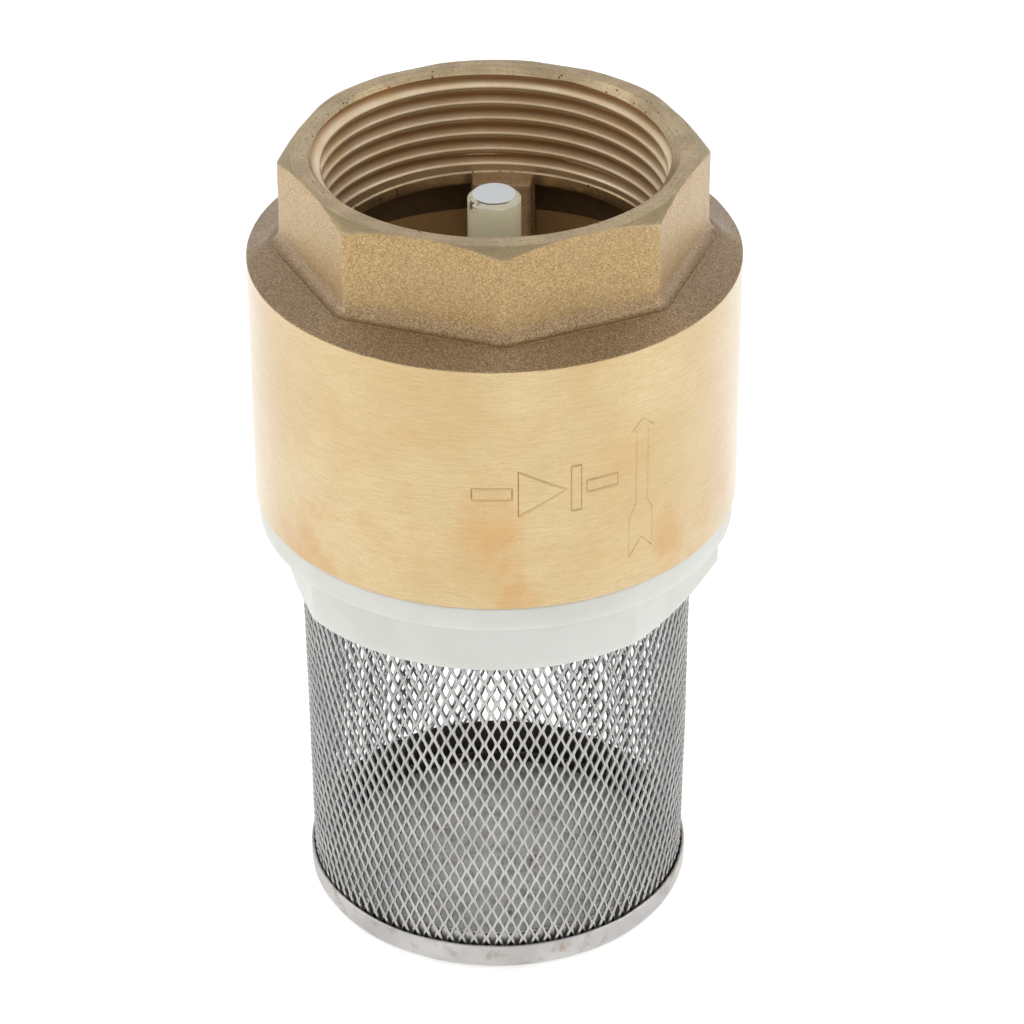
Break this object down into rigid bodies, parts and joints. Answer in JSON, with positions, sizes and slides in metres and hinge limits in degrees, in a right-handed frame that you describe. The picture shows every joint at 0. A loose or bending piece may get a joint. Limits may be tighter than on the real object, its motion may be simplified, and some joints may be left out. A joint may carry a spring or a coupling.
{
  "type": "foot valve",
  "caption": "Brass spring check valve for the foot of a suction pipe: threaded outlet, nylon poppet and collar, expanded-metal strainer.",
  "frame": {"origin": "centre of the strainer cap's underside, which the valve stands on", "axes": "+Z along the valve's axis, in the direction of flow, towards the threaded outlet"},
  "size_m": [0.065, 0.065, 0.114],
  "materials": {
    "brass": "turned barrel finely brushed, head and shoulder as sand-cast",
    "white_nylon": "moulded, satin",
    "natural_nylon": "moulded, milky and slightly translucent",
    "black_rubber": "matt",
    "spring_steel": "drawn stainless wire",
    "mesh_steel": "expanded stainless sheet, dull",
    "cap_steel": "pressed stainless sheet, satin, faintly stained"
  },
  "bodies": {
    "housing": {"valve_body": "brass", "inlet_collar": "white_nylon", "collar_o_ring": "black_rubber", "return_spring": "spring_steel", "strainer_mesh": "mesh_steel", "strainer_cap": "cap_steel"},
    "poppet": {"poppet": "natural_nylon", "poppet_seal": "black_rubber", "seal_retainer": "natural_nylon"}
  },
  "joints": [
    {"name": "poppet_slide", "type": "slide", "parent": "housing", "child": "poppet", "axis": [0, 0, 1], "range_m": [0, 0.007], "stiffness_N_per_m": 300, "springref_m": -0.01, "deforming": ["return_spring"]}
  ]
}
